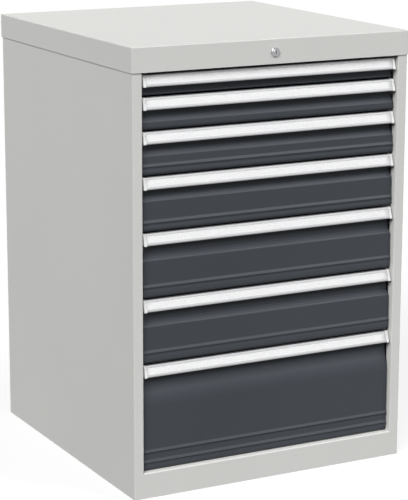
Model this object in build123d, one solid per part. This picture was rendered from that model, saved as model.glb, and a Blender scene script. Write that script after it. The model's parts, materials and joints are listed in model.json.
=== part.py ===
from build123d import *
import os
from math import atan2, degrees, hypot

# A floor-standing workshop drawer cabinet of folded sheet steel: a casing, seven drawers on
# three-part roller slides, a full-width grip handle on each drawer, and one lock whose bar
# blocks every drawer.
# Millimetres. X runs to the right seen from the front, Y to the back and Z up. The floor is
# Z = 0, and the origin is under the middle of the cabinet, its lock nose included.

# Casing
cabinet_width = 705.0       # across the top cover
cabinet_depth = 736.0       # across the top cover
cover_rim = 56.0            # height of the cover's turned-down rim
plinth_height = 59.5        # floor to the lower edge of the drawer opening
opening_play = 3.5          # part of the opening that is left free above the drawers
stile_width = 24.0          # casing front on each side of the drawers
height_grid = 25.0          # pitch of the upright slots, which drawer heights are counted in
drawer_steps = [2, 3, 4, 5, 6, 6, 10]   # drawer heights from the top, in grid steps
case_sheet = 1.5            # steel of cover, side panels and plinth
back_sheet = 1.0
bottom_sheet = 1.0
fold = 1.2                  # inside radius of the casing's folds
cover_gap = 0.5             # between the cover's rim and the panels inside it
cover_corner = 2.0          # outside radius of the cover's edges
stile_return = 20.0         # depth of the fold behind each stile
rear_flange = 22.0          # width of a side panel's flange under the back panel
foot_flange = 24.0          # width of a side panel's flange on the floor
foot_rise = 20.0            # height over which that flange backs the panel
back_inset = 3.0            # back panel's edge to the side panel's outer face
bottom_edge = 16.0          # turned-down edge of the bottom panel
plinth_shelf = 25.0         # depth of the plinth's upper flange
plinth_lip = 20.0           # depth of the plinth's flange on the floor
plinth_wrap = 25.0          # how far the plinth turns the front corners
seam = 0.3                  # open joint behind the plinth's corner
slit = 0.8                  # open slit above the plinth's corner

# Uprights that carry the slides
upright_sheet = 2.0
upright_width = 30.0
upright_setback = 36.0      # casing front to the front upright
upright_rear_space = 25.0   # rear upright to the casing's back
slot_width = 6.0
slot_height = 15.0

# Slides
rail_sheet = 1.5
rail_fold = 0.5
rail_height = 26.0          # of the middle and the drawer rail
rail_centre = 18.0          # above the drawer's lower limit
slide_gap = 0.5             # between two rails that slide in each other
roller_width = 3.5
roller_gap = 0.4            # between a roller and the flanges it runs in
roller_inset = 12.0         # front roller's axle to its rail's front end
cabinet_roller_back = 230.0  # rear roller of the cabinet rail, behind its front end
middle_roller_back = 305.0   # rear roller of the middle rail, behind its front end
middle_rail_length = 560.0
hook_width = 4.0
hook_height = 12.0
hook_reach = 5.0            # of a rail's hook into the upright

# Drawers
tray_sheet = 1.0
tray_depth = 660.0
tray_rise = 3.0             # tray bottom above the drawer's lower limit
tray_drop = 15.0            # tray rim below the drawer's upper limit
tray_lip = 6.0              # inward lip round the rim
tray_corner = 2.0
side_gap = 5.0              # drawer front and handle to the stile on each side
front_sheet = 1.0
front_depth = 27.0          # casing front to the back of the drawer front
front_recess = 22.5         # casing front to the panel behind the handle
front_plane = 11.0          # casing front to the drawer front's main face
front_top_gap = 4.0         # drawer front below the drawer's upper limit
front_bottom_gap = 0.8      # drawer front above the drawer's lower limit
front_foot = 9.0            # outside radius of the fold along the drawer front's lower edge
front_lip = 14.0            # height over which its turned-in lips lie on the tray
shoulder_start = 42.5       # where the panel starts to slope out, below the upper limit
shoulder_end = 56.5         # where it reaches the main face
low_shoulder_step = 6       # drawers from this many grid steps have a lower, rounder slope
low_shoulder_start = 52.5
low_shoulder_end = 63.5
low_shoulder_hollow = 1.5   # radius where that slope leaves the recess
low_shoulder_bend = 6.0     # radius where it meets the main face
deep_shoulder_start = 50.0  # the slope on drawers from two_rib_step, long and shallow
deep_shoulder_end = 84.0
deep_shoulder_hollow = 80.0
deep_shoulder_bend = 80.0
shallow_foot = 5.2          # end of the slope above the lower limit, on the shallowest drawer
panel_fold = 1.0            # radius of the panel's pressed bends
rib_out = 2.8               # crest of a pressed rib in front of the main face
rib_rise = 6.0              # height of a rib's upper flank
rib_fall = 4.5              # height of its lower flank
rib_back = 2.0              # how far that flank goes back
step_drop = 7.0             # rib's crest to the next small step out, on the middle drawers
step_rise = 4.0             # height of that step
step_out = 0.6
low_rib = 24.5              # middle of a rib's upper flank above the lower limit
middle_rib = 29.5           # the same on the taller drawers with one rib
upper_rib = 48.0            # the second rib of the deepest drawer
first_ribbed_step = 4       # drawers from this many grid steps have a rib
two_rib_step = 10           # and from this many steps have two

# Handles
grip_sheet = 2.0
grip_web = 20.0             # height of the web that is fixed to the drawer front
grip_top = 2.5              # handle below the drawer's upper limit
grip_drop = 26.5            # height of the sloping face
grip_shelf = 12.0           # top of the handle, out from the drawer front's recess
grip_throw = 20.0           # foot of the face, out from the drawer front's recess
grip_hem = 3.0              # inward hem along the foot
grip_fold = 0.6
grip_cap = 6.0              # thickness of a handle's end cap
label_depth = 0.8           # groove in the face for a label strip
label_upper_lip = 4.5       # face above the groove
label_lower_lip = 5.5       # face below the groove
label_undercut = 1.0        # how far the groove runs behind each lip
label_play = 0.4            # depth of that undercut

# Lock
lock_height = 26.5          # axis of the lock above the drawer opening
lock_nose = 4.0             # cylinder in front of the cover
lock_flange = 3.0           # rosette in front of the cover
lock_flange_radius = 10.4
lock_barrel_radius = 8.0
lock_radius = 6.0
lock_play = 0.05            # radial play of the cylinder in its housing
nut_radius = 12.0
nut_height = 4.0
key_width = 1.6
key_height = 8.0
key_depth = 14.0
cam_sheet = 2.0
cam_radius = 4.0            # round ends of the cam
cam_offset = 4.0            # the cam pin's place to the side of and below the lock's axis
cam_pin_radius = 2.0
link_sheet = 2.0
link_height = 16.0
link_drop = 14.0            # link's lower edge below the lock's axis
link_tail = 12.0            # link's end to the left of the lock's axis
link_plate_height = 26.0    # plate with the sloping slot, at the link's other end
link_plate_width = 24.0
lock_gap = 2.0              # between cam, link and bar, front to back
bar_sheet = 3.0
bar_width = 12.0
bar_space = 3.5             # lock bar to the drawer opening's side
bar_gap = 4.0               # lock bar to the front upright
bar_pin_radius = 2.5
bar_pin_drop = 11.0         # bar's pin at rest, below the lock's axis
bar_pin_inset = 3.0         # bar's pin from the bar's inner edge
bar_head = 12.0             # bar above its pin
bar_tail = 10.0             # bar below its lowest finger
finger_reach = 12.0
finger_low = 36.0           # finger at rest, above the drawer's lower limit
finger_height = 5.0
catch_low = 43.0            # catch on the drawer, above the drawer's lower limit
catch_height = 5.0
catch_sheet = 2.0
catch_foot = 14.0           # depth of the upstand that carries the catch
catch_gap = 2.0             # between a raised finger and the catch
guide_gap = 0.4
guide_wall = 1.2
guide_height = 8.0
guide_level = 60.0          # guide above the drawer's lower limit
guided_drawers = [3, 5, 7]  # drawers beside which the bar has a guide
first_hanger = 60.0         # link's hangers, from the lock to the right
second_hanger = 250.0
stop_height = 6.0
seat_gap = 0.3              # lock bar at rest to its stop

# Places that follow from these sizes
opening_bottom = plinth_height
opening_top = opening_bottom + height_grid * sum(drawer_steps) + opening_play
cabinet_height = opening_top + cover_rim
cover_under = cabinet_height - case_sheet
half_body = cabinet_width / 2 - case_sheet - cover_gap
half_opening = half_body - stile_width
half_inside = half_body - case_sheet
cover_front = lock_nose / 2 - cabinet_depth / 2
cover_back = cover_front + cabinet_depth
body_front = cover_front + case_sheet + cover_gap
body_back = cover_back - case_sheet - cover_gap
panel_back = body_back - back_sheet
floor_top = plinth_height - case_sheet

front_upright = body_front + upright_setback
rear_upright = body_back - upright_rear_space - upright_width
first_slot = opening_bottom + rail_centre

cabinet_web = half_opening - rail_sheet
middle_web = cabinet_web - roller_width - slide_gap
middle_inner = middle_web - rail_sheet
drawer_web = middle_inner - roller_width - slide_gap
half_tray = drawer_web - rail_sheet
cabinet_rail_height = rail_height + 2 * (slide_gap + rail_sheet)
roller_radius = rail_height / 2 - rail_sheet - roller_gap
rail_back = rear_upright + upright_width

half_front = half_opening - side_gap
tray_front = body_front + front_depth
tray_back = tray_front + tray_depth

lock_level = opening_top + lock_height
bar_back = front_upright - bar_gap
bar_front = bar_back - bar_sheet
link_back = bar_front - lock_gap
link_front = link_back - link_sheet
cam_back = link_front - lock_gap
cam_front = cam_back - cam_sheet
housing_back = cam_front - lock_gap / 2
bar_inner = half_opening + bar_space
bar_pin_x = bar_inner + bar_pin_inset
bar_pin_z = lock_level - bar_pin_drop
lock_stroke = 2 * cam_offset
lock_middle = (cover_front + cam_back) / 2
catch_front = bar_back + catch_gap

drawers = []
level = opening_top - opening_play
for number, steps in enumerate(drawer_steps, start=1):
    bottom = level - steps * height_grid
    drawers.append((number, steps, bottom, level))
    level = bottom
lowest_finger = opening_bottom + finger_low
bar_bottom = lowest_finger - bar_tail


def block(x1, x2, y1, y2, z1, z2):
    """A box between two opposite corners."""
    middle = Pos((x1 + x2) / 2, (y1 + y2) / 2, (z1 + z2) / 2)
    return middle * Box(x2 - x1, y2 - y1, z2 - z1)


def sheet_profile(points, sheet, inside_radius):
    """The section of a folded sheet along its middle line."""
    return trace(FilletPolyline(*points, radius=inside_radius + sheet / 2), line_width=sheet)


def folded_up(points, sheet, z1, z2):
    """A sheet folded in plan (x, y) and standing from z1 to z2."""
    return Pos(0, 0, z1) * extrude(sheet_profile(points, sheet, fold), z2 - z1, dir=(0, 0, 1))


def folded_across(points, sheet, half_width, inside_radius):
    """A sheet folded in side view (y, z), as wide as twice half_width about the middle."""
    section = Plane.YZ.offset(-half_width) * sheet_profile(points, sheet, inside_radius)
    return extrude(section, 2 * half_width, dir=(1, 0, 0))


def folded_back(points, sheet, y1, y2, inside_radius):
    """A sheet folded in front view (x, z) and running back from y1 to y2."""
    section = Plane.XZ.offset(-y1) * sheet_profile(points, sheet, inside_radius)
    return extrude(section, y2 - y1, dir=(0, 1, 0))


def rod_y(radius, x, z, y1, y2):
    """A round bar along Y."""
    return Pos(x, (y1 + y2) / 2, z) * Rot(90, 0, 0) * Cylinder(radius, y2 - y1)


def rod_x(radius, y, z, x1, x2):
    """A round bar along X."""
    return Pos((x1 + x2) / 2, y, z) * Rot(0, 90, 0) * Cylinder(radius, x2 - x1)


def left_of(piece):
    """The same piece on the cabinet's left side."""
    return mirror(piece, Plane.YZ)


def save(name, *pieces):
    """Write one sub-part, which may be several separate solids, to its own file."""
    solids = [solid for piece in pieces for solid in piece.solids()]
    export_step(Compound(solids), f"parts/{name}.step")


def top_cover():
    """Pan-shaped cover with its rim turned down all round and a hole for the lock."""
    half = cabinet_width / 2
    outer = block(-half, half, cover_front, cover_back, opening_top, cabinet_height)
    edges = outer.edges().filter_by(Axis.Z) + outer.edges().group_by(Axis.Z)[-1]
    outer = fillet(edges, cover_corner)
    inner = block(
        -half + case_sheet,
        half - case_sheet,
        cover_front + case_sheet,
        cover_back - case_sheet,
        opening_top - case_sheet,
        cover_under,
    )
    lock_hole = rod_y(
        lock_barrel_radius + lock_play, 0, lock_level, cover_front - case_sheet, body_front
    )
    return outer - inner - lock_hole


def side_panel():
    """Right side panel with its stile, the return behind it, a rear flange and a foot flange."""
    t = case_sheet / 2
    plan = [
        (half_opening + t, body_front + stile_return),
        (half_opening + t, body_front + t),
        (half_body - t, body_front + t),
        (half_body - t, panel_back - t),
        (half_body - rear_flange, panel_back - t),
    ]
    wrap_end = body_front + plinth_wrap + seam
    foot = [(half_body - t, foot_rise), (half_body - t, t), (half_body - foot_flange, t)]
    panel = folded_up(plan, case_sheet, 0, cover_under)
    panel += folded_back(foot, case_sheet, wrap_end, panel_back - case_sheet, fold)
    panel -= block(
        half_opening - seam, half_body + seam, body_front - seam, wrap_end, -seam, plinth_height
    )
    behind_stile = body_front + case_sheet + fold
    for z1, z2 in ((0, opening_bottom), (opening_top, cabinet_height)):
        panel -= block(
            half_opening - seam,
            half_opening + case_sheet + fold,
            behind_stile,
            body_front + stile_return + seam,
            z1,
            z2,
        )
    return panel


def plinth():
    """Front plinth: a folded board that carries the bottom panel and turns both corners."""
    t = case_sheet / 2
    side = half_body - t
    wrap = [
        (-side, body_front + plinth_wrap),
        (-side, body_front + t),
        (side, body_front + t),
        (side, body_front + plinth_wrap),
    ]
    section = [
        (body_front + plinth_shelf, plinth_height - t),
        (body_front + t, plinth_height - t),
        (body_front + t, t),
        (body_front + plinth_lip, t),
    ]
    piece = folded_up(wrap, case_sheet, 0, plinth_height)
    piece -= block(
        -half_opening,
        half_opening,
        body_front - seam,
        body_front + case_sheet + seam,
        plinth_height - case_sheet - fold,
        plinth_height + seam,
    )
    piece += folded_across(section, case_sheet, half_opening, fold)
    corner_slit = block(
        half_inside - seam,
        half_body + seam,
        body_front + case_sheet + fold,
        body_front + plinth_wrap + seam,
        plinth_height - slit,
        plinth_height + seam,
    )
    return piece - corner_slit - left_of(corner_slit)


def bottom_panel():
    """Floor of the casing, with its two sides turned down."""
    t = bottom_sheet / 2
    side = half_inside - t
    top = floor_top - t
    section = [
        (-side, floor_top - bottom_edge),
        (-side, top),
        (side, top),
        (side, floor_top - bottom_edge),
    ]
    front = body_front + case_sheet + fold + cover_gap
    return folded_back(section, bottom_sheet, front, panel_back - case_sheet - fold, fold)


def back_panel():
    """Flat rear sheet on the side panels' flanges."""
    side = half_body - back_inset
    return block(-side, side, panel_back, body_back, 0, cover_under)


def upright(front):
    """One slotted channel between the bottom panel and the cover, open to the side panel."""
    t = upright_sheet / 2
    back = front + upright_width
    plan = [
        (half_inside, front + t),
        (half_opening + t, front + t),
        (half_opening + t, back - t),
        (half_inside, back - t),
    ]
    post = folded_up(plan, upright_sheet, floor_top, cover_under)
    slot = Box(3 * upright_sheet, slot_width, slot_height)
    middle = front + upright_width / 2
    slots = [
        Pos(half_opening + t, middle, first_slot + step * height_grid) * slot
        for step in range(sum(drawer_steps))
    ]
    return post - slots


def channel(web_face, flange_end, sheet_side, height, y1, y2, level):
    """A rail of C section: web_face is where the web starts, and its sheet lies on sheet_side."""
    t = rail_sheet / 2
    web = web_face + sheet_side * t
    section = [
        (flange_end, level + height / 2 - t),
        (web, level + height / 2 - t),
        (web, level - height / 2 + t),
        (flange_end, level - height / 2 + t),
    ]
    return folded_back(section, rail_sheet, y1, y2, rail_fold)


def cabinet_rail(bottom):
    """Rail that hooks into the two uprights, and the two rollers riveted to it."""
    level = bottom + rail_centre
    rail = channel(
        half_opening, middle_inner, -1, cabinet_rail_height, front_upright, rail_back, level
    )
    for post in (front_upright, rear_upright):
        middle = post + upright_width / 2
        rail += block(
            half_opening - rail_sheet / 2,
            half_opening + hook_reach,
            middle - hook_width / 2,
            middle + hook_width / 2,
            level - slot_height / 2,
            level - slot_height / 2 + hook_height,
        )
    rollers = [
        rod_x(roller_radius, front_upright + place, level, cabinet_web - roller_width, cabinet_web)
        for place in (roller_inset, cabinet_roller_back)
    ]
    return [rail, *rollers]


def middle_rail(bottom):
    """Rail between cabinet and drawer, and the two rollers that the drawer rail runs on."""
    level = bottom + rail_centre
    end = front_upright + middle_rail_length
    rail = channel(middle_web, cabinet_web - slide_gap, -1, rail_height, front_upright, end, level)
    rollers = [
        rod_x(
            roller_radius, front_upright + place, level, middle_inner - roller_width, middle_inner
        )
        for place in (roller_inset, middle_roller_back)
    ]
    return [rail, *rollers]


def drawer_rail(bottom):
    """Rail fixed to the side of a drawer's tray."""
    level = bottom + rail_centre
    return channel(
        half_tray, middle_inner - slide_gap, 1, rail_height, catch_front, tray_back, level
    )


def catch(bottom):
    """Upstand on the right drawer rail, and the catch that the lock's finger blocks."""
    top = bottom + catch_low + catch_height
    upstand = block(
        half_tray,
        drawer_web,
        catch_front,
        catch_front + catch_foot,
        bottom + rail_centre + rail_height / 2,
        top,
    )
    plate = block(
        drawer_web,
        half_front,
        catch_front,
        catch_front + catch_sheet,
        bottom + catch_low,
        top,
    )
    return [upstand, plate]


def tray(bottom, top):
    """Open steel box with an inward lip round its rim."""
    z1 = bottom + tray_rise
    z2 = top - tray_drop
    outer = block(-half_tray, half_tray, tray_front, tray_back, z1, z2)
    outer = fillet(outer.edges().filter_by(Axis.Z), tray_corner)
    cavity = block(
        -half_tray + tray_sheet,
        half_tray - tray_sheet,
        tray_front + tray_sheet,
        tray_back - tray_sheet,
        z1 + tray_sheet,
        z2 - tray_sheet,
    )
    cavity = fillet(cavity.edges().filter_by(Axis.Z), tray_corner - tray_sheet)
    mouth = block(
        -half_tray + tray_lip,
        half_tray - tray_lip,
        tray_front + tray_lip,
        tray_back - tray_lip,
        z2 - 2 * tray_sheet,
        z2 + tray_sheet,
    )
    return outer - cavity - mouth


def rib_outline(steps, bottom):
    """The pressed ribs of a drawer front of so many grid steps, as (y, z) corners going down."""
    plane = body_front + front_plane
    crest = plane - rib_out
    valley = crest + rib_back
    if steps < first_ribbed_step:
        return []
    if steps >= two_rib_step:
        points = []
        for rib in (bottom + upper_rib, bottom + low_rib):
            points += [
                (plane, rib + rib_rise / 2),
                (crest, rib - rib_rise / 2),
                (plane, rib - rib_rise / 2 - rib_fall),
            ]
        return points
    rib = bottom + (middle_rib if steps >= low_shoulder_step else low_rib)
    crest_level = rib - rib_rise / 2
    return [
        (plane, rib + rib_rise / 2),
        (crest, crest_level),
        (valley, crest_level - rib_fall),
        (valley, crest_level - step_drop),
        (valley - step_out, crest_level - step_drop - step_rise),
    ]


def shoulder_of(steps):
    """Start and end of the slope between a drawer front's recess and its face, and the radius
    at each."""
    if steps >= two_rib_step:
        return deep_shoulder_start, deep_shoulder_end, deep_shoulder_hollow, deep_shoulder_bend
    if steps >= low_shoulder_step:
        return low_shoulder_start, low_shoulder_end, low_shoulder_hollow, low_shoulder_bend
    return shoulder_start, shoulder_end, panel_fold, panel_fold


def front_outline(steps, bottom, top):
    """The drawer front's outside in side view, going down from its upper back edge: the (y, z)
    corners, and the radius at each of them."""
    recess = body_front + front_recess
    plane = body_front + front_plane
    upper = top - front_top_gap
    lower = bottom + front_bottom_gap
    start, end, hollow, bend = shoulder_of(steps)
    slope = (recess - plane) / (end - start)
    shoulder = max(top - end, bottom + shallow_foot)
    shoulder_y = recess - slope * (top - start - shoulder)
    ribs = rib_outline(steps, bottom)
    points = [
        (tray_front, upper),
        (recess, upper),
        (recess, top - start),
        (shoulder_y, shoulder),
        *ribs,
    ]
    radii = [0, panel_fold, hollow, bend, *[panel_fold for point in ribs]]
    foot_y, foot_start = points[-1]
    foot = min(front_foot, foot_start - lower - panel_fold)
    return points + [(foot_y, lower), (tray_front, lower)], radii + [foot, 0]


def drawer_front(steps, bottom, top):
    """Pressed front panel: a shallow pan with two lips that lie on the tray's front."""
    points, radii = front_outline(steps, bottom, top)
    face = make_face(FilletPolyline(*points, radius=radii, close=True))
    solid = extrude(Plane.YZ.offset(-half_front) * face, 2 * half_front, dir=(1, 0, 0))
    inside_half = half_front - front_sheet
    inside = extrude(Plane.YZ.offset(-inside_half) * face, 2 * inside_half, dir=(1, 0, 0))
    lower = bottom + front_bottom_gap
    upper = top - front_top_gap
    band = block(
        -half_front,
        half_front,
        body_front,
        tray_front + 2 * front_sheet,
        lower + front_sheet,
        upper - front_sheet,
    )
    front = solid - ((Pos(0, front_sheet, 0) * inside) & band)
    for z1, z2 in ((lower, lower + front_lip), (top - tray_drop - front_lip, upper)):
        front += block(-inside_half, inside_half, tray_front - front_sheet, tray_front, z1, z2)
    return front


def grip_points(top):
    """Middle line of the grip profile's sheet in side view, from the web's lower edge."""
    t = grip_sheet / 2
    recess = body_front + front_recess
    shelf = top - grip_top - t
    foot = top - grip_top - grip_drop + t
    return [
        (recess - t, top - grip_top - grip_web),
        (recess - t, shelf),
        (recess - grip_shelf + t, shelf),
        (recess - grip_throw + t, foot),
        (recess - grip_throw + t + grip_hem, foot),
    ]


def label_groove(top):
    """Section of the groove in the handle's face, which runs on behind both lips."""
    points = grip_points(top)
    upper, lower = points[2], points[3]
    lean = degrees(atan2(lower[0] - upper[0], upper[1] - lower[1]))
    length = hypot(lower[0] - upper[0], lower[1] - upper[1])
    height = length - label_upper_lip - label_lower_lip
    middle = -label_upper_lip - height / 2
    outside = -grip_sheet / 2
    groove = Pos(outside, middle) * Rectangle(2 * label_depth, height)
    groove += Pos(outside + label_depth - label_play / 2, middle) * Rectangle(
        label_play, height + 2 * label_undercut
    )
    return Pos(*upper) * Rot(0, 0, lean) * groove


def handle(top):
    """Grip profile: a web on the drawer front, a shelf, a face sloping out and down, a hem."""
    section = sheet_profile(grip_points(top), grip_sheet, grip_fold) - label_groove(top)
    half_length = half_front - grip_cap
    return extrude(Plane.YZ.offset(-half_length) * section, 2 * half_length, dir=(1, 0, 0))


def handle_cap(top):
    """Right end cap, which closes the handle's end."""
    recess = body_front + front_recess
    upper = top - grip_top
    outline = Polyline(
        (recess, upper),
        (recess - grip_shelf, upper),
        (recess - grip_throw, upper - grip_drop + grip_sheet),
        (recess - grip_throw, upper - grip_drop),
        (recess - grip_throw + grip_hem, upper - grip_drop),
        (recess, upper - grip_web),
        close=True,
    )
    section = Plane.YZ.offset(half_front - grip_cap) * make_face(outline)
    return extrude(section, grip_cap, dir=(1, 0, 0))


def lock_housing():
    """Rosette and threaded barrel of the lock, with the bore the cylinder turns in."""
    rosette = rod_y(lock_flange_radius, 0, lock_level, cover_front - lock_flange, cover_front)
    rosette = chamfer(rosette.edges().group_by(Axis.Y)[0], lock_flange / 3)
    barrel = rod_y(lock_barrel_radius, 0, lock_level, cover_front, housing_back)
    bore = rod_y(
        lock_radius + lock_play, 0, lock_level, cover_front - lock_flange - lock_nose, cam_back
    )
    return rosette + barrel - bore


def lock_nut():
    """Ring nut that clamps the lock to the cover's rim from behind."""
    start = cover_front + case_sheet
    ring = rod_y(nut_radius, 0, lock_level, start, start + nut_height)
    hole = rod_y(lock_barrel_radius + lock_play, 0, lock_level, start, start + nut_height)
    return ring - hole


def lock_cylinder():
    """Turning cylinder with its keyway."""
    start = cover_front - lock_nose
    body = rod_y(lock_radius, 0, lock_level, start, cam_front)
    body = chamfer(body.edges().group_by(Axis.Y)[0], lock_play * 10)
    keyway = block(
        -key_width / 2,
        key_width / 2,
        start - key_width,
        start + key_depth,
        lock_level - key_height / 2,
        lock_level + key_height / 2,
    )
    return body - keyway


def lock_cam():
    """Cam on the cylinder's end, with the pin that moves the link sideways."""
    eye = rod_y(cam_radius, 0, lock_level, cam_front, cam_back)
    tip = rod_y(cam_radius, cam_offset, lock_level - cam_offset, cam_front, cam_back)
    arm_length = cam_offset * 2**0.5
    arm = Pos(cam_offset / 2, (cam_front + cam_back) / 2, lock_level - cam_offset / 2)
    arm *= Rot(0, 45, 0) * Box(arm_length, cam_sheet, 2 * cam_radius)
    pin = rod_y(
        cam_pin_radius, cam_offset, lock_level - cam_offset, cam_front, link_back + lock_gap / 2
    )
    return eye + tip + arm + pin


def lock_link():
    """Flat link inside the cover's rim: an upright slot for the cam pin at one end, and at
    the other a slot sloping at 45 degrees that lifts the lock bar as the link moves left."""
    middle = (link_front + link_back) / 2
    low = lock_level - link_drop
    plate_left = bar_pin_x - link_plate_width / 2 + lock_stroke / 2
    plate_low = bar_pin_z + lock_stroke / 2 - link_plate_height / 2
    strip = block(
        -link_tail,
        plate_left + link_plate_width,
        link_front,
        link_back,
        low,
        low + link_height,
    )
    strip += block(
        plate_left,
        plate_left + link_plate_width,
        link_front,
        link_back,
        plate_low,
        plate_low + link_plate_height,
    )
    reach = cam_offset * 2**0.5
    pin_room = cam_pin_radius + guide_gap
    strip -= block(
        cam_offset - pin_room,
        cam_offset + pin_room,
        link_front - lock_gap,
        link_back + lock_gap,
        lock_level - reach - pin_room,
        lock_level - cam_offset + pin_room,
    )
    slot = SlotCenterToCenter(lock_stroke * 2**0.5, 2 * (bar_pin_radius + guide_gap))
    slot = extrude(Plane.XZ * (Rot(0, 0, 45) * slot), link_sheet, both=True)
    slot = Pos(bar_pin_x + lock_stroke / 2, middle, bar_pin_z + lock_stroke / 2) * slot
    return strip - slot


def lock_bar():
    """Flat bar behind the right stile, its pin, and one finger for each drawer."""
    bar = block(
        bar_inner, bar_inner + bar_width, bar_front, bar_back, bar_bottom, bar_pin_z + bar_head
    )
    pin = rod_y(bar_pin_radius, bar_pin_x, bar_pin_z, link_front - lock_gap / 2, bar_front)
    fingers = [
        block(
            bar_inner - finger_reach,
            bar_inner,
            bar_front,
            bar_back,
            bottom + finger_low,
            bottom + finger_low + finger_height,
        )
        for number, steps, bottom, top in drawers
    ]
    return [bar + pin, *fingers]


def bar_guide(low):
    """Bracket on the front upright that the lock bar slides through."""
    bracket = block(
        bar_inner - guide_gap - guide_wall,
        bar_inner + bar_width + guide_gap + guide_wall,
        bar_front - guide_gap - guide_wall,
        front_upright,
        low,
        low + guide_height,
    )
    slot = block(
        bar_inner - guide_gap,
        bar_inner + bar_width + guide_gap,
        bar_front - guide_gap,
        bar_back + guide_gap,
        low,
        low + guide_height,
    )
    return bracket - slot


def bar_stop():
    """Bracket on the front upright that the lock bar rests on when the lock is open."""
    top = bar_bottom - seat_gap
    return block(bar_inner, bar_inner + bar_width, bar_front, front_upright, top - stop_height, top)


def link_hanger(place):
    """Hanger under the cover that the link slides through."""
    low = lock_level - link_drop
    hanger = block(
        place,
        place + guide_height,
        link_front - guide_gap - guide_wall,
        link_back + guide_gap + guide_wall,
        low - guide_gap - guide_wall,
        cover_under,
    )
    slot = block(
        place,
        place + guide_height,
        link_front - guide_gap,
        link_back + guide_gap,
        low - guide_gap,
        low + link_height + guide_gap,
    )
    return hanger - slot


def save_casing():
    """Cover, panels, plinth, uprights and the rails fixed to them."""
    panel = side_panel()
    uprights = [upright(front_upright), upright(rear_upright)]
    rails = [piece for number, steps, bottom, top in drawers for piece in cabinet_rail(bottom)]
    save("top_cover", top_cover())
    save("right_side_panel", panel)
    save("left_side_panel", left_of(panel))
    save("back_panel", back_panel())
    save("bottom_panel", bottom_panel())
    save("plinth", plinth())
    save("right_uprights", *uprights)
    save("left_uprights", *[left_of(piece) for piece in uprights])
    save("right_cabinet_rails", *rails)
    save("left_cabinet_rails", *[left_of(piece) for piece in rails])


def save_drawer(number, steps, bottom, top):
    """Tray, front, handle, end caps and slide members of one drawer."""
    rail = drawer_rail(bottom)
    middle = middle_rail(bottom)
    cap = handle_cap(top)
    upstand, plate = catch(bottom)
    save(f"drawer_{number}_tray", tray(bottom, top))
    save(f"drawer_{number}_front", drawer_front(steps, bottom, top))
    save(f"drawer_{number}_handle", handle(top))
    save(f"drawer_{number}_handle_caps", cap, left_of(cap))
    save(f"drawer_{number}_drawer_rails", rail + upstand, plate, left_of(rail))
    save(f"drawer_{number}_middle_rails", *middle, *[left_of(piece) for piece in middle])


def save_lock():
    """Lock, and the linkage that bars the drawers."""
    guides = [
        bar_guide(bottom + guide_level)
        for number, steps, bottom, top in drawers
        if number in guided_drawers
    ]
    hangers = [link_hanger(place) for place in (first_hanger, second_hanger)]
    save("lock_housing", lock_housing())
    save("lock_nut", lock_nut())
    save("lock_cylinder", lock_cylinder())
    save("lock_cam", lock_cam())
    save("lock_link", lock_link())
    save("lock_bar", *lock_bar())
    save("lock_guides", *guides, *hangers, bar_stop())


os.makedirs("parts", exist_ok=True)
save_casing()
for drawer in drawers:
    save_drawer(*drawer)
save_lock()
print("cabinet", cabinet_width, "wide,", cabinet_depth, "deep,", cabinet_height, "high")
print("trays", 2 * half_tray, "wide; pin of the lock bar at", bar_pin_x, bar_pin_z)
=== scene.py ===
# %% [markdown]
# # A steel drawer cabinet, dressed
# The metalwork of this workshop cabinet arrives ready made as separate pieces: folded casing,
# seven drawers, slides and lock. Nothing here moves or reshapes them. This notebook gives each one
# the finish that it has on the real object, adds the thin label strips of the handles, and sets up
# the camera, the floor and the light.

# %% Load the cabinet
import json
import math

import bpy
import numpy as np
from mathutils import Matrix, Vector


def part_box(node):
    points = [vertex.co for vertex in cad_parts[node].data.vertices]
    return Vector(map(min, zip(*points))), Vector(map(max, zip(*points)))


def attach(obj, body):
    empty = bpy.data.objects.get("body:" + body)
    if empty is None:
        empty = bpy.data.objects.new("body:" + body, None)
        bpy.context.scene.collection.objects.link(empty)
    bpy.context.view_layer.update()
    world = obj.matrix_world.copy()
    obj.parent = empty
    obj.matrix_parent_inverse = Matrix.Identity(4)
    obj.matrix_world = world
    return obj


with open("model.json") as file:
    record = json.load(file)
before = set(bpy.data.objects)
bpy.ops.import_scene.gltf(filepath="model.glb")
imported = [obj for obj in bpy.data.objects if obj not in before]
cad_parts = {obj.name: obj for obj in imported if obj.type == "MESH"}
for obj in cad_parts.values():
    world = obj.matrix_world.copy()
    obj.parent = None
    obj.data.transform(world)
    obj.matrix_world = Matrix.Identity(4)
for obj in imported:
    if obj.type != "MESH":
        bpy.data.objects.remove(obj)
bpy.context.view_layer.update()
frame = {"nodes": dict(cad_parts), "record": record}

nodes = frame["nodes"]
bodies = frame["record"]["behaviour"]["bodies"]
drawer_bodies = sorted(name for name in bodies if name.startswith("drawer_"))
scene = bpy.context.scene
print(len(nodes), "pieces,", len(drawer_bodies), "drawers")

# %% [markdown]
# ## The camera
# A product photograph is usually taken from a few metres away with a long lens, so that the
# upright edges stay nearly parallel. A camera can be moved by eye until the picture looks right,
# but then its distance and its lens make up for each other's errors. So the place below was worked
# out from the straight edges of the cabinet in its photograph. The camera stands to the left, half
# a metre above the cover, and looks down by 13 degrees. The lens follows from the number of pixels
# that one unit of slope covers in a picture 500 pixels high.

# %% Place the camera
CAMERA_PLACE = Vector((-2.142, -4.0828, 1.5402))
CAMERA_TURN = math.radians(27.863)
CAMERA_PITCH = math.radians(13.132)
CAMERA_ROLL = math.radians(0.126)
FOCAL_PIXELS = 1947.4
PICTURE_HEIGHT_PIXELS = 500
SENSOR_MM = 36.0
FARTHEST_SEEN = 100.0


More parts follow.
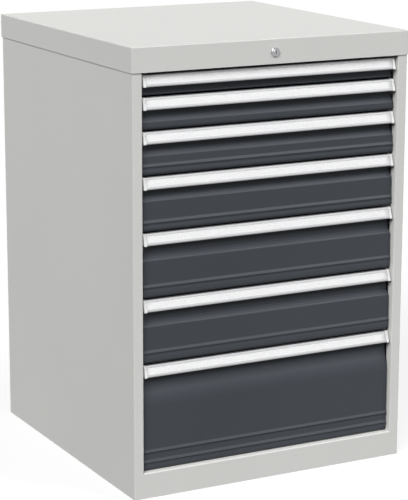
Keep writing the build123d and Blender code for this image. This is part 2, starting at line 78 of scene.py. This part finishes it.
def camera_axes(turn, pitch, roll):
    """Right, up and backward directions of a camera.

    It is turned from +Y towards +X, then tipped down by pitch, then rolled.
    """
    flat = math.cos(pitch)
    ahead = Vector((math.sin(turn) * flat, math.cos(turn) * flat, -math.sin(pitch)))
    level = ahead.cross(Vector((0, 0, 1))).normalized()
    above = level.cross(ahead)
    right = level * math.cos(roll) + above * math.sin(roll)
    return right, right.cross(ahead), -ahead


lens = bpy.data.cameras.new("camera")
lens.sensor_width = SENSOR_MM
lens.lens = FOCAL_PIXELS * SENSOR_MM / PICTURE_HEIGHT_PIXELS
lens.clip_end = FARTHEST_SEEN
camera = bpy.data.objects.new("camera", lens)
scene.collection.objects.link(camera)
turned = Matrix(camera_axes(CAMERA_TURN, CAMERA_PITCH, CAMERA_ROLL)).transposed()
camera.matrix_world = Matrix.Translation(CAMERA_PLACE) @ turned.to_4x4()
scene.camera = camera
print("lens", round(lens.lens, 1), "mm, camera at", tuple(round(v, 2) for v in camera.location))

# %% [markdown]
# ## Floor, sky and lamps
# The cabinet stands in a white studio. Two things can make a background white: more lamps, which
# would also wash out the paint, or a floor and a sky that are white to look at. The second is
# used, through the Light Path node: the camera, reflections and glass see white, and the light
# that floor and sky cast on the metal stays low, so that the recess under each handle keeps its
# dark shade. The floor still takes the shadow of the cabinet.

# %% Helpers for nodes


def feed(tree, node, values):
    """Feeds a node's inputs: an output is linked to the input, and a number or colour is set."""
    for key, value in values.items():
        if isinstance(value, bpy.types.NodeSocket):
            tree.links.new(value, node.inputs[key])
        else:
            node.inputs[key].default_value = value


def add(tree, kind, values=None, **settings):
    """A new node of that kind with its settings, its inputs fed with the values."""
    node = tree.nodes.new("ShaderNode" + kind)
    for key, value in settings.items():
        setattr(node, key, value)
    feed(tree, node, values or {})
    return node


def larger(tree, first, second):
    """An output with the larger of two values."""
    return add(tree, "Math", {0: first, 1: second}, operation="MAXIMUM").outputs[0]


def looked_at(tree):
    """An output that is 1 for camera, glossy and transmission rays and 0 for gathering light."""
    rays = add(tree, "LightPath").outputs
    seen = larger(tree, rays["Is Camera Ray"], rays["Is Glossy Ray"])
    return larger(tree, seen, rays["Is Transmission Ray"])


# %% Mix the floor's material
FLOOR_WHITE = (0.98, 0.98, 0.98, 1.0)
FLOOR_CAST = (0.06, 0.06, 0.06, 1.0)
FLOOR_GLOW = 0.78


def floor_material():
    """To look at, mostly its own white and the rest lit white, which takes the shadow.

    For the light that it casts on the metal, it is dark grey.
    """
    material = bpy.data.materials.new("studio_floor")
    material.use_nodes = True
    tree = material.node_tree
    tree.nodes.clear()
    lit = add(tree, "BsdfDiffuse", {"Color": FLOOR_WHITE}).outputs[0]
    glow = add(tree, "Emission").outputs[0]
    shown = add(tree, "MixShader", {"Fac": FLOOR_GLOW, 1: lit, 2: glow}).outputs[0]
    cast = add(tree, "BsdfDiffuse", {"Color": FLOOR_CAST}).outputs[0]
    whole = add(tree, "MixShader", {"Fac": looked_at(tree), 1: cast, 2: shown}).outputs[0]
    add(tree, "OutputMaterial", {"Surface": whole})
    return material


studio_floor = floor_material()
print(studio_floor.name, "glows by", FLOOR_GLOW)

# %% Build the floor
FLOOR_HALF = 40.0
FLOOR_POINTS = 3


def grid_mesh(name, points):
    """A mesh through points[i, j], places worked out from two parameters, with a quad a cell."""
    rows, columns = points.shape[:2]
    number = np.arange(rows * columns).reshape(rows, columns)
    corners = [number[:-1, :-1], number[1:, :-1], number[1:, 1:], number[:-1, 1:]]
    quads = np.stack(corners, axis=-1)
    mesh = bpy.data.meshes.new(name)
    mesh.from_pydata(points.reshape(-1, 3).tolist(), [], quads.reshape(-1, 4).tolist())
    mesh.update()
    piece = bpy.data.objects.new(name, mesh)
    scene.collection.objects.link(piece)
    return piece


floor_line = np.linspace(-FLOOR_HALF, FLOOR_HALF, FLOOR_POINTS)
floor_x, floor_y = np.meshgrid(floor_line, floor_line, indexing="ij")
floor = grid_mesh("floor", np.stack([floor_x, floor_y, np.zeros_like(floor_x)], axis=-1))
floor.data.materials.append(studio_floor)
print("floor", 2 * FLOOR_HALF, "m square")

# %% [markdown]
# ### Where the light comes from
# Three wide lamps stand for the soft boxes of a product studio. The strong one, to the left of the
# camera, lights the side panel and the fronts, and a softer one to its right fills in. Both stand
# high, so that the cover is the brightest face and the recess under each handle stays dark, and
# off the line on which a handle would mirror them into the camera as plain white. A weak one
# behind keeps the back from going dark in other views. Area lamps would be closer to real soft
# boxes, but they light near things more. Suns are used, because they light the cover and the floor
# alike.

# %% Light the studio
SKY_WHITE = (1.0, 1.0, 1.0, 1.0)
SKY_LIGHT = 0.08
LAMPS = {  # angles in degrees
    "left": {"level": 1.04, "spread": 36, "elevation": 38, "side": -50},
    "right": {"level": 0.57, "spread": 36, "elevation": 38, "side": 47},
    "behind": {"level": 0.36, "spread": 36, "elevation": 6, "side": -168},
}


def studio_sky(strength):
    """A sky that is white to look at and casts light of this strength."""
    world = bpy.data.worlds.new("studio_sky")
    world.use_nodes = True
    tree = world.node_tree
    levels = {"Value": looked_at(tree), "To Min": strength, "To Max": 1.0}
    level = add(tree, "MapRange", levels).outputs[0]
    feed(tree, tree.nodes["Background"], {"Color": SKY_WHITE, "Strength": level})
    return world


def sun(name, level, spread, elevation, side):
    """Adds a sun that lights a white card facing it to that level.

    side turns it from -Y towards +X.
    """
    data = bpy.data.lights.new(name, "SUN")
    data.energy = level * math.pi
    data.angle = math.radians(spread)
    lamp = bpy.data.objects.new(name, data)
    up, turn = math.radians(elevation), math.radians(side)
    flat = math.cos(up)
    towards = Vector((math.sin(turn) * flat, -math.cos(turn) * flat, math.sin(up)))
    lamp.rotation_euler = towards.to_track_quat("Z", "Y").to_euler()
    scene.collection.objects.link(lamp)


scene.world = studio_sky(SKY_LIGHT)
for name, settings in LAMPS.items():
    sun(name, **settings)
scene.view_settings.view_transform = "Standard"
print("sky", SKY_LIGHT, "and", len(LAMPS), "lamps")

# %% [markdown]
# ## Effects that several finishes share
# Powder coat, rolled zinc and drawn aluminium look different, yet they are made of the same few
# effects: a fine skin that breaks up the highlight, a slow drift of tone, and thin lines along the
# way that the metal ran through its tool. Each could be drawn anew in every material, but then a
# change has to be made many times. So each effect is a node group with named inputs, built once
# and placed in each material with its own values. The groups give colours and numbers only, and
# the shader stays in the material.

# %% Helpers for node groups
NOISE_LOW = 0.3  # nearly all values of a noise lie between these two
NOISE_HIGH = 0.7


def new_group(name, inputs):
    """A node group with its input sockets, given as name and kind, and an effect's three outputs.

    It returns the group, the sockets that its inner nodes read, and the node that takes results.
    """
    tree = bpy.data.node_groups.new(name, "ShaderNodeTree")
    outputs = {"Colour": "Color", "Roughness": "Float", "Height": "Float"}
    for way, sockets in (("INPUT", inputs), ("OUTPUT", outputs)):
        for label, kind in sockets.items():
            tree.interface.new_socket(name=label, in_out=way, socket_type="NodeSocket" + kind)
    return tree, tree.nodes.new("NodeGroupInput").outputs, tree.nodes.new("NodeGroupOutput")


def noise(tree, place, scale, detail):
    """The grey value of a noise. detail is the number of finer layers that are laid over it."""
    return add(tree, "TexNoise", {"Vector": place, "Scale": scale, "Detail": detail}).outputs["Fac"]


def multiply_add(tree, value, factor, addend):
    """An output with value * factor + addend."""
    values = {0: value, 1: factor, 2: addend}
    return add(tree, "Math", values, operation="MULTIPLY_ADD").outputs[0]


def follow_noise(tree, given, grey, colour_play):
    """A colour and a roughness that rise and fall with a noise.

    s runs from -1 to 1 over the noise's values, the colour is the given one times
    1 + s * colour_play, and the roughness is the given one plus s * its play.
    """
    limits = {"From Min": NOISE_LOW, "From Max": NOISE_HIGH, "To Min": -1.0, "To Max": 1.0}
    swing = add(tree, "MapRange", {"Value": grey, **limits}).outputs[0]
    gain = multiply_add(tree, swing, colour_play, 1.0)
    toned = add(tree, "VectorMath", {0: given["Colour"], "Scale": gain}, operation="SCALE")
    rough = multiply_add(tree, swing, given["Roughness Play"], given["Roughness"])
    return toned.outputs[0], rough


# %% [markdown]
# ### Powder coat
# Powder is blown on dry and melts into a film that pulls together like the skin of an orange. The
# dimples are one to two millimetres wide and a few hundredths of one deep, far too small to model,
# so they are a noise with a finer one laid over it, which feeds a Bump node. A third, much wider
# noise lets the tone drift by a few percent, as it does between panels of one batch.

# %% Powder coat group
SKIN_DETAIL = 1.5
SPECK_DETAIL = 1.0
SPECK_FINER = 2.7   # scale of the speck, in times that of the skin
SPECK_SHARE = 0.5   # height of the speck, as a share of the skin's
DRIFT_SCALE = 2.3
DRIFT_DETAIL = 3.0


def powder_coat_group():
    """Height is the skin's noise plus a share of the speck's, which is finer.

    Colour and roughness follow the wide noise.
    """
    inputs = {
        "Colour": "Color",
        "Drift": "Float",
        "Skin Scale": "Float",
        "Roughness": "Float",
        "Roughness Play": "Float",
    }
    tree, given, results = new_group("powder_coat", inputs)
    place = add(tree, "TexCoord").outputs["Object"]
    skin = noise(tree, place, given["Skin Scale"], SKIN_DETAIL)
    finer = add(tree, "Math", {0: given["Skin Scale"], 1: SPECK_FINER}, operation="MULTIPLY")
    speck = noise(tree, place, finer.outputs[0], SPECK_DETAIL)
    height = multiply_add(tree, speck, SPECK_SHARE, skin)
    wide = noise(tree, place, DRIFT_SCALE, DRIFT_DETAIL)
    colour, rough = follow_noise(tree, given, wide, given["Drift"])
    feed(tree, results, {"Colour": colour, "Roughness": rough, "Height": height})
    return tree


powder_coat = powder_coat_group()
print("group", powder_coat.name, "has", len(powder_coat.nodes), "nodes")

# %% [markdown]
# ### Lines along the metal
# An extruded or rolled profile carries fine lines along its length, left by the die or the rolls.
# A picture of brushed metal would show them, but it needs a flat map of every piece. A noise on
# the piece's own coordinates needs none: scaled much less along one direction than across it, it
# draws out into lines. Which direction that is differs from finish to finish, so the stretch is an
# input.

# %% Drawn lines group
LINE_SCALE = 1.0
LINE_DETAIL = 3.0


def drawn_lines_group():
    """Noise on Object coordinates times Stretch, which is small along the lines.

    Colour, roughness and height all follow that one noise.
    """
    inputs = {
        "Colour": "Color",
        "Stretch": "Vector",
        "Contrast": "Float",
        "Roughness": "Float",
        "Roughness Play": "Float",
    }
    tree, given, results = new_group("drawn_lines", inputs)
    place = add(tree, "TexCoord").outputs["Object"]
    drawn = add(tree, "VectorMath", {0: place, 1: given["Stretch"]}, operation="MULTIPLY")
    lines = noise(tree, drawn.outputs[0], LINE_SCALE, LINE_DETAIL)
    colour, rough = follow_noise(tree, given, lines, given["Contrast"])
    feed(tree, results, {"Colour": colour, "Roughness": rough, "Height": lines})
    return tree


drawn_lines = drawn_lines_group()
print("group", drawn_lines.name, "has", len(drawn_lines.nodes), "nodes")

# %% [markdown]
# ## The finishes
# Each material is a Principled shader with one of the groups in front of it. Values that are the
# same all over a piece, such as how metallic it is, could come out of the group too, but they sit
# on the shader itself, where they are quicker to find. A finish is named in the cabinet's record
# for every piece, so one call dresses all pieces of a kind.

# %% Helpers that build a material and put it on


def finish(name, group, colour, effect_values, bump_height, shader_values):
    """A Principled material that takes its colour, roughness and bump from a group.

    effect_values are for the group's inputs and shader_values for the shader's own. bump_height
    is in metres.
    """
    material = bpy.data.materials.new(name)
    material.use_nodes = True
    material.diffuse_color = (*colour, 1)
    tree = material.node_tree
    effect_inputs = {"Colour": (*colour, 1), **effect_values}
    effect = add(tree, "Group", effect_inputs, node_tree=group).outputs
    bump = add(tree, "Bump", {"Height": effect["Height"], "Distance": bump_height}).outputs
    surface = {
        "Base Color": effect["Colour"],
        "Roughness": effect["Roughness"],
        "Normal": bump["Normal"],
    }
    feed(tree, tree.nodes["Principled BSDF"], {**surface, **shader_values})
    return material


def dress(slot, material):
    """Gives a material to every node whose subpart has that slot in the record."""
    dressed = 0
    for subpart in frame["record"]["subparts"]:
        if subpart["material_slot"] == slot:
            piece = nodes[subpart["node"]]
            piece.data.materials.clear()
            piece.data.materials.append(material)
            dressed += 1
    print(slot, "on", dressed, "pieces")


# %% [markdown]
# ### Casing, fronts and trays
# All three are powder coated. One paint in two colours would do for a picture from afar, but the
# real ones differ in their skin and their shine. The casing is light grey with a fine skin. Seen
# almost edge on, even a satin coat mirrors a lamp as plain white, so its specular level is kept
# very low and the cover stays grey from every side. The fronts and trays are anthracite with a
# coarser skin and a little more shine, which draws the ribs as soft bright lines.

# %% Paint the casing, the fronts and the trays
MM = 0.001
CASING_GREY = (0.635, 0.635, 0.617)
ANTHRACITE = (0.050, 0.0563, 0.066)

casing_paint = finish(
    "casing_paint",
    powder_coat,
    CASING_GREY,
    {"Drift": 0.012, "Skin Scale": 650.0, "Roughness": 0.45, "Roughness Play": 0.04},
    bump_height=0.03 * MM,
    shader_values={"Specular IOR Level": 0.03},
)
front_paint = finish(
    "front_paint",
    powder_coat,
    ANTHRACITE,
    {"Drift": 0.05, "Skin Scale": 520.0, "Roughness": 0.40, "Roughness Play": 0.04},
    bump_height=0.04 * MM,
    shader_values={"Specular IOR Level": 0.15},
)
tray_paint = finish(
    "tray_paint",
    powder_coat,
    ANTHRACITE,
    {"Drift": 0.05, "Skin Scale": 520.0, "Roughness": 0.5, "Roughness Play": 0.05},
    bump_height=0.04 * MM,
    shader_values={"Specular IOR Level": 0.15},
)
dress("casing_paint", casing_paint)
dress("front_paint", front_paint)
dress("tray_paint", tray_paint)

# %% [markdown]
# ### Handles, steel, lock and end caps
# The handles are extruded aluminium, brushed and anodised, so they are metallic with fine lines
# along X. The rails are zinc-plated steel, rolled along Y. The uprights stand, but so little of
# them shows that a finish of their own isn't worth it, and they share that of the rails. The lock
# is polished and nearly without lines. The end caps are moulded plastic with a faint skin, for
# which the powder coat's noise serves as well, only finer.

# %% Finish the handles, the steel, the lock and the end caps
ALUMINIUM = (0.385, 0.385, 0.395)
ZINC = (0.52, 0.53, 0.55)
CHROME = (0.40, 0.40, 0.41)
CAP_GREY = (0.70, 0.70, 0.70)

handle_aluminium = finish(
    "handle_aluminium",
    drawn_lines,
    ALUMINIUM,
    {
        "Stretch": (2.0, 1400.0, 1400.0),
        "Contrast": 0.035,
        "Roughness": 0.60,
        "Roughness Play": 0.05,
    },
    bump_height=0.01 * MM,
    shader_values={"Metallic": 1.0},
)
zinc_steel = finish(
    "zinc_steel",
    drawn_lines,
    ZINC,
    {"Stretch": (500.0, 4.0, 500.0), "Contrast": 0.08, "Roughness": 0.36, "Roughness Play": 0.1},
    bump_height=0.01 * MM,
    shader_values={"Metallic": 1.0},
)
lock_chrome = finish(
    "lock_chrome",
    drawn_lines,
    CHROME,
    {"Stretch": (900.0, 40.0, 900.0), "Contrast": 0.03, "Roughness": 0.19, "Roughness Play": 0.04},
    bump_height=0.002 * MM,
    shader_values={"Metallic": 1.0},
)
cap_plastic = finish(
    "cap_plastic",
    powder_coat,
    CAP_GREY,
    {"Drift": 0.01, "Skin Scale": 1500.0, "Roughness": 0.45, "Roughness Play": 0.03},
    bump_height=0.01 * MM,
    shader_values={},
)
dress("handle_aluminium", handle_aluminium)
dress("zinc_steel", zinc_steel)
dress("lock_chrome", lock_chrome)
dress("cap_plastic", cap_plastic)

# %% [markdown]
# ## Label strips
# The sloping face of each handle has a shallow groove whose edges are undercut. A strip of white
# card slides into it from the end, under a springy clear cover that bows out a little. The place
# of the groove could be typed in for all seven handles. It is worked out instead, from the box
# round each handle and the measures of the profile that they share.

# %% Work out the handle's face
SHELF = 12.0 * MM       # top of the handle, from the back of the profile to the face
THROW = 20.0 * MM       # foot of the face, from the same back
SHEET = 2.0 * MM
UPPER_LIP = 4.5 * MM    # face above the groove
LOWER_LIP = 5.5 * MM    # face below the groove
GROOVE_DEPTH = 0.8 * MM
EDGE_REACH = 0.7 * MM   # how far a strip runs into the undercut behind each lip


def handle_face(node):
    """Start, direction down the face, outward normal and length of a handle's face.

    The places are (y, z) in side view, on the middle line of the profile's sheet.
    """
    low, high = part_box(node)
    half = SHEET / 2
    start = np.array([high.y - SHELF + half, high.z - half])
    end = np.array([high.y - THROW + half, low.z + half])
    length = float(np.linalg.norm(end - start))
    down = (end - start) / length
    return start, down, np.array([down[1], -down[0]]), length


_, face_down, _, face_length = handle_face("drawer_1_handle")
face_lean = math.degrees(math.asin(-face_down[0]))
print("handle face", round(face_length / MM, 1), "mm long, leaning", round(face_lean, 1), "degrees")

# %% [markdown]
# ### Card and clear film
# The card is dull and nearly white, so it gets the noise of the powder coat with a very fine skin
# and hardly any shine. The cover is a clear plastic film. Glass, which bends the light at both of
# its faces, would need many more samples to come out smooth, and in a film this thin the bend
# can't be seen. So its Alpha is low: most light passes straight through, and a faint shine stays.

# %% Finish the card and the clear film
CARD_WHITE = (0.77, 0.77, 0.768)
FILM_TINT = (0.92, 0.93, 0.94)

label_card = finish(
    "label_card",
    powder_coat,
    CARD_WHITE,
    {"Drift": 0.015, "Skin Scale": 2200.0, "Roughness": 0.75, "Roughness Play": 0.05},
    bump_height=0.01 * MM,
    shader_values={"Specular IOR Level": 0.1},
)
clear_film = finish(
    "clear_film",
    drawn_lines,
    FILM_TINT,
    {"Stretch": (1.5, 500.0, 500.0), "Contrast": 0.01, "Roughness": 0.18, "Roughness Play": 0.05},
    bump_height=0.004 * MM,
    shader_values={"Alpha": 0.12},
)
print(label_card.name, "and", clear_film.name, "ready")

# %% [markdown]
# ### The sheets in the groove
# A stretched box would do for the card, but it couldn't bow like the cover. So both are surfaces
# over the length and the height of the groove, with their edges behind its lips, and a Solidify
# modifier gives each its thickness.

# %% Make the cards and their clear covers
CARD_THICKNESS = 0.15 * MM
COVER_THICKNESS = 0.20 * MM
COVER_BOW = 0.18 * MM
CLEARANCE = 0.02 * MM   # between groove and card, and between card and cover
END_PLAY = 0.4 * MM     # a strip's end to the end of its handle
POINTS_ALONG = 41
POINTS_ACROSS = 13


def groove_sheet(name, node, lift, bow, thickness):
    """A sheet in a handle's groove, straight along X and bowed across its height.

    At d down the face, it lies lift + bow * (1 - s * s) off the groove's floor, where s runs
    from -1 at the upper edge to 1 at the lower one.
    """
    start, down, outward, length = handle_face(node)
    low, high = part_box(node)
    along = np.linspace(high.x - END_PLAY, low.x + END_PLAY, POINTS_ALONG)
    across = np.linspace(UPPER_LIP - EDGE_REACH, length - LOWER_LIP + EDGE_REACH, POINTS_ACROSS)
    share = np.linspace(-1.0, 1.0, POINTS_ACROSS)
    rise = SHEET / 2 - GROOVE_DEPTH + lift + bow * (1.0 - share**2)
    points = np.empty((POINTS_ALONG, POINTS_ACROSS, 3))
    points[..., 0] = along[:, None]
    points[..., 1:] = start + across[:, None] * down + rise[:, None] * outward
    piece = grid_mesh(name, points)
    piece.data.polygons.foreach_set("use_smooth", np.ones(len(piece.data.polygons), bool))
    wall = piece.modifiers.new("wall", "SOLIDIFY")
    wall.thickness = thickness
    wall.offset = 1.0  # the whole wall lies in front of the surface
    return piece


cover_lift = CLEARANCE + CARD_THICKNESS + CLEARANCE
for body in drawer_bodies:
    handle = body + "_handle"
    card = groove_sheet(body + "_label_strip", handle, CLEARANCE, 0.0, CARD_THICKNESS)
    cover = groove_sheet(body + "_label_cover", handle, cover_lift, COVER_BOW, COVER_THICKNESS)
    for piece, material in ((card, label_card), (cover, clear_film)):
        piece.data.materials.append(material)
        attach(piece, body)
print(2 * len(drawer_bodies), "label pieces, each", round(card.dimensions.x / MM, 1), "mm long")
